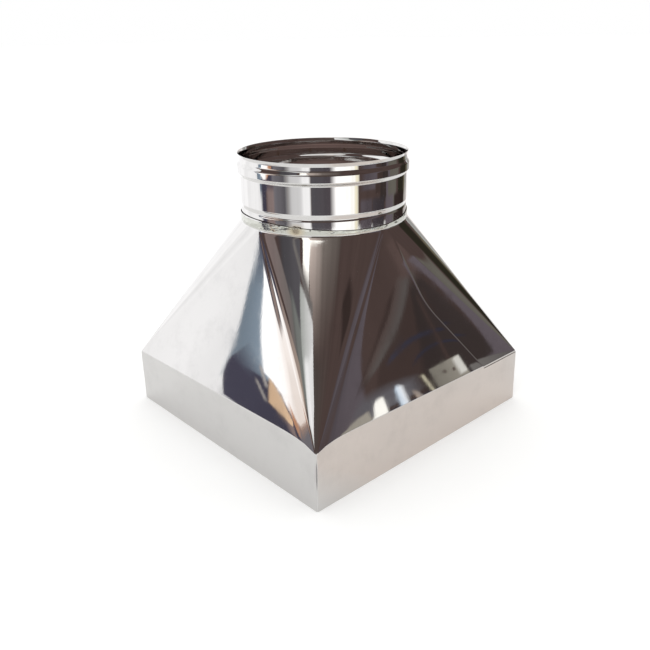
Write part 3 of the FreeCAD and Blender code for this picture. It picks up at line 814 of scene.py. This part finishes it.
def bowed(values, share):
    """The quadratic through three values, at shares 0, a half and 1, or one value throughout."""
    first, middle, last = np.broadcast_to(values, 3)
    climb, bend = 4 * middle - 3 * first - last, 2 * first + 2 * last - 4 * middle
    return first + share * climb + share ** 2 * bend


def faded_steps(count, before, after):
    """Even steps from 0 to 1 with a narrow one at each end that fades, and the cover at each."""
    before, after = min(before, 0.45), min(after, 0.45)
    steps = np.linspace(before, 1 - after, count)
    cover = np.ones(count)
    if before:
        steps, cover = np.concatenate([[0.0], steps]), np.concatenate([[0.0], cover])
    if after:
        steps, cover = np.concatenate([steps, [1.0]]), np.concatenate([cover, [0.0]])
    return steps, cover


def card_grid(card, distance):
    """A card's points and its tones: its colour across, and a cover that fades at its border."""
    width = np.abs(np.subtract(card.right, card.left)).max()
    tall = np.subtract(card.high, card.low).max()
    before, after, foot, top = card.soft
    across, cover_across = faded_steps(4 + int(width / 3), before / width, after / width)
    rise, cover_rise = faded_steps(9, foot / tall, top / tall)
    start = bowed(card.left, rise)[:, None]
    end = bowed(card.right, rise)[:, None]
    turn = np.radians(start + (end - start) * across[None, :])
    low = bowed(card.low, across)[None, :]
    high = bowed(card.high, across)[None, :]
    z = low + (high - low) * rise[:, None]
    points = np.stack([distance * np.cos(turn), distance * np.sin(turn), z], axis=-1)
    first, last = np.broadcast_to(card.glow, (2, 3))
    tint = np.broadcast_to(first + (last - first) * across[:, None], points.shape)
    cover = cover_rise[:, None] * cover_across[None, :]
    return points, np.concatenate([tint, cover[:, :, None]], axis=-1)


def level_card_grid(start, end, near, far, height, near_glow, far_glow, cover):
    """A level sheet of painted reflection: a ring sector round the hopper's middle, its glow
    changing outwards.

    An open sector's cover fades to 0 over the last sixth at each end.
    """
    share = np.linspace(0, 1, 13)[None, :]
    turn = np.radians(start + (end - start) * share)
    out = np.linspace(0, 1, 7)[:, None]
    reach = near + (far - near) * out
    points = np.stack([reach * np.cos(turn), reach * np.sin(turn), height + 0 * reach * turn],
                      axis=-1)
    tint = np.array(near_glow) + (np.array(far_glow) - np.array(near_glow)) * out[:, :, None]
    edge = np.minimum(1, 6 * np.minimum(share, 1 - share)) if end - start < 360 else 1 + 0 * share
    cover = (cover * edge + 0 * out)[:, :, None]
    return points, np.concatenate([np.broadcast_to(tint, points.shape), cover], axis=-1)


def make_cards():
    """Every card as one mesh that only glossy rays meet, so that it lights and shades nothing."""
    grids = [card_grid(card, (NEAR_REACH if card.near else FAR_REACH) - CARD_GAP * index)
             for index, card in enumerate(CARDS)]
    # Painted warm reflection before the right side, and painted shade across the collar's foot.
    grids.append(level_card_grid(-44, 62, near=0.17, far=0.62, height=0.6 * MM,
                            near_glow=lit(PEACH, 0.86), far_glow=lit(PEACH, 0.62), cover=0.42))
    grids.append(level_card_grid(-180, 180, near=0.0, far=0.098, height=COLLAR_LOW[2],
                            near_glow=lit(DUSK, 0.25), far_glow=lit(DUSK, 0.13), cover=1.0))
    points = [grid.reshape(-1, 3) for grid, tint in grids]
    first = np.cumsum([0] + [len(part) for part in points])
    faces = [grid_faces(*grid.shape[:2], start) for (grid, tint), start in zip(grids, first)]
    mesh = bpy.data.meshes.new("reflection_cards")
    mesh.from_pydata(np.concatenate(points).tolist(), [], np.concatenate(faces).tolist())
    tone = mesh.color_attributes.new("tone", "FLOAT_COLOR", "POINT")
    tints = np.concatenate([tint.reshape(-1, 4) for grid, tint in grids])
    tone.data.foreach_set("color", tints.astype(np.float32).ravel())
    mesh.materials.append(card_material())
    cards = new_object("reflection_cards", mesh)
    for ray in ("camera", "diffuse", "transmission", "volume_scatter", "shadow"):
        setattr(cards, "visible_" + ray, False)


def card_material():
    """The cards' glow: the tone, with faint upright folds, fading to clear at the border."""
    material, tree, position = new_material("Card tone")
    tree.nodes.remove(tree.nodes["Principled BSDF"])
    read = new_node(tree, "ShaderNodeAttribute", attribute_name="tone").outputs
    folds = noise_node(tree, position, 0.12, scale=11.0, detail=1.5, roughness=0.5)
    level = math_node(tree, "MULTIPLY_ADD", folds, 0.36, 0.82)
    glow = new_node(tree, "ShaderNodeEmission", color=read["Color"], strength=level)
    clear = tree.nodes.new("ShaderNodeBsdfTransparent")
    mix = tree.nodes.new("ShaderNodeMixShader")
    for socket, value in zip(mix.inputs, (read["Alpha"], clear.outputs[0], glow.outputs[0])):
        set_socket(socket, value)
    set_socket(tree.nodes["Material Output"].inputs["Surface"], mix.outputs[0])
    return material


def make_floor(finish):
    """A wide pale floor that the camera sees as white, with the hopper's soft shadow kept."""
    reach, seen, mirrored = 40.0, 0.24, 0.11
    mesh = bpy.data.meshes.new("studio_floor")
    corners = [(-reach, -reach, 0), (reach, -reach, 0), (reach, reach, 0), (-reach, reach, 0)]
    mesh.from_pydata(corners, [], [(0, 1, 2, 3)])
    material = bpy.data.materials.new("Studio floor")
    material.use_nodes = True
    tree = material.node_tree
    shader = tree.nodes["Principled BSDF"]
    shader.inputs["Roughness"].default_value = 0.8
    shader.inputs["Base Color"].default_value = (*finish.floor, 1)
    ray = tree.nodes.new("ShaderNodeLightPath").outputs
    glossy = math_node(tree, "MAXIMUM", ray["Is Glossy Ray"], ray["Is Transmission Ray"])
    strength = math_node(tree, "MAXIMUM", math_node(tree, "MULTIPLY", ray["Is Camera Ray"], seen),
                         math_node(tree, "MULTIPLY", glossy, mirrored))
    lift = new_node(tree, "ShaderNodeEmission", strength=strength)
    total = tree.nodes.new("ShaderNodeAddShader")
    set_socket(total.inputs[0], shader.outputs[0])
    set_socket(total.inputs[1], lift.outputs[0])
    set_socket(tree.nodes["Material Output"].inputs["Surface"], total.outputs[0])
    mesh.materials.append(material)
    new_object("studio_floor", mesh)


def make_world():
    """An even white surround: soft light on the hopper, and pure white to the camera."""
    light, seen_more = 0.85, 0.15
    world = bpy.data.worlds.new("Studio")
    world.use_nodes = True
    bpy.context.scene.world = world
    tree = world.node_tree
    ray = tree.nodes.new("ShaderNodeLightPath").outputs
    seen = math_node(tree, "MAXIMUM", ray["Is Camera Ray"], ray["Is Glossy Ray"])
    seen = math_node(tree, "MAXIMUM", seen, ray["Is Transmission Ray"])
    strength = math_node(tree, "MULTIPLY_ADD", seen, seen_more, light)
    surround = tree.nodes["Background"].inputs
    surround["Color"].default_value = (1.0, 1.0, 1.0, 1)
    set_socket(surround["Strength"], strength)


def make_lamp(name, place, size, power):
    """A soft square lamp that points at the hopper's middle."""
    data = bpy.data.lights.new(name, "AREA")
    data.shape = "SQUARE"
    data.size = size
    data.energy = power
    middle = Vector((0, 0, 0.15))
    lamp = new_object(name, data)
    lamp.location = place
    lamp.rotation_mode = "QUATERNION"
    lamp.rotation_quaternion = (middle - Vector(place)).to_track_quat("-Z", "Y")
    lamp.visible_glossy = False


def make_camera():
    """The camera where the photograph was taken, over the hopper's near corner.

    It looks down by the tilt, from the direction that the turn gives, and leans by the roll.
    """
    place = (0.6423, -0.5778, 0.4638)
    turn, tilt, roll = math.radians(47.08), math.radians(19.20), math.radians(-0.90)
    back = Vector((math.sin(turn) * math.cos(tilt), -math.cos(turn) * math.cos(tilt),
                   math.sin(tilt)))
    level = Vector((math.cos(turn), math.sin(turn), 0))
    upright = back.cross(level)
    right = math.cos(roll) * level + math.sin(roll) * upright
    up = -math.sin(roll) * level + math.cos(roll) * upright
    data = bpy.data.cameras.new("Camera")
    data.sensor_width = 36
    data.lens = 39.85
    data.shift_x = -0.018
    data.shift_y = -0.066
    data.clip_start = 0.01
    camera = new_object("Camera", data)
    turned = Matrix((right, up, back)).transposed().to_4x4()
    camera.matrix_world = Matrix.Translation(place) @ turned
    bpy.context.scene.camera = camera


class HOPPER_OT_shells(Operator):
    """Make the two half shells of the skirt, roof and neck"""

    bl_idname = "hopper.shells"
    bl_label = "Half shells"

    def execute(self, context):
        sizes = context.scene.hopper_sizes
        finish = context.scene.hopper_finish
        grids = shell_grids(ShellForm(sizes))
        material = sheet_material("Polished sheet", finish, sheet_skin_group(sizes),
                                  weld_heat_group(sizes), waviness=0.06)
        for name, turn in (("front_shell", 1), ("rear_shell", -1)):
            turned = [grid * np.array([turn, turn, 1.0]) for grid in grids]
            mesh = thickened(name + "_sheet", mesh_from_grids(name, turned), sizes.gauge)
            add_piece(name + "_sheet", mesh, material, name)
        return {"FINISHED"}


class HOPPER_OT_collar(Operator):
    """Make the rolled and beaded collar"""

    bl_idname = "hopper.collar"
    bl_label = "Collar"

    def execute(self, context):
        material = bpy.data.materials["Polished sheet"]
        mesh = mesh_from_grids("collar_tube", collar_grids(context.scene.hopper_sizes))
        mesh.set_sharp_from_angle(angle=SHARP)
        add_piece("collar_tube", mesh, material, "collar")
        return {"FINISHED"}


class HOPPER_OT_tacks(Operator):
    """Make the weld tacks round the neck"""

    bl_idname = "hopper.tacks"
    bl_label = "Weld tacks"

    def execute(self, context):
        sizes = context.scene.hopper_sizes
        mesh = mesh_from_grids("tack_droplets", tack_grids(sizes))
        add_piece("tack_droplets", mesh, weld_material(context.scene.hopper_finish),
                  "tack_welds")
        return {"FINISHED"}


class HOPPER_OT_stage(Operator):
    """Make the floor, lamps, cards and camera"""

    bl_idname = "hopper.stage"
    bl_label = "Studio"

    def execute(self, context):
        make_world()
        make_floor(context.scene.hopper_finish)
        make_cards()
        make_lamp("Key lamp", place=(1.2, -1.6, 2.2), size=1.4, power=12)
        make_camera()
        context.scene.view_settings.view_transform = "Standard"
        return {"FINISHED"}


class HOPPER_PT_panel(Panel):
    """Lists the hopper's sizes, colours and steps"""

    bl_idname = "HOPPER_PT_panel"
    bl_label = "Flue hopper"
    bl_space_type = "VIEW_3D"
    bl_region_type = "UI"
    bl_category = "Hopper"

    def draw(self, context):
        layout = self.layout
        for group in (context.scene.hopper_sizes, context.scene.hopper_finish):
            for key in group.__annotations__:
                layout.prop(group, key)
        for operator in OPERATORS:
            layout.operator(operator.bl_idname)


OPERATORS = (HOPPER_OT_shells, HOPPER_OT_collar, HOPPER_OT_tacks, HOPPER_OT_stage)
CLASSES = (HopperSizes, HopperFinish, *OPERATORS, HOPPER_PT_panel)


def register():
    """Adds the classes and the two groups of settings to Blender."""
    for item in CLASSES:
        bpy.utils.register_class(item)
    bpy.types.Scene.hopper_sizes = PointerProperty(type=HopperSizes)
    bpy.types.Scene.hopper_finish = PointerProperty(type=HopperFinish)


def unregister():
    """Takes them out again."""
    del bpy.types.Scene.hopper_finish
    del bpy.types.Scene.hopper_sizes
    for item in reversed(CLASSES):
        bpy.utils.unregister_class(item)


def main():
    """Makes the hopper and its studio."""
    register()
    bpy.ops.hopper.shells()
    bpy.ops.hopper.collar()
    bpy.ops.hopper.tacks()
    bpy.ops.hopper.stage()


if __name__ == "__main__":
    main()
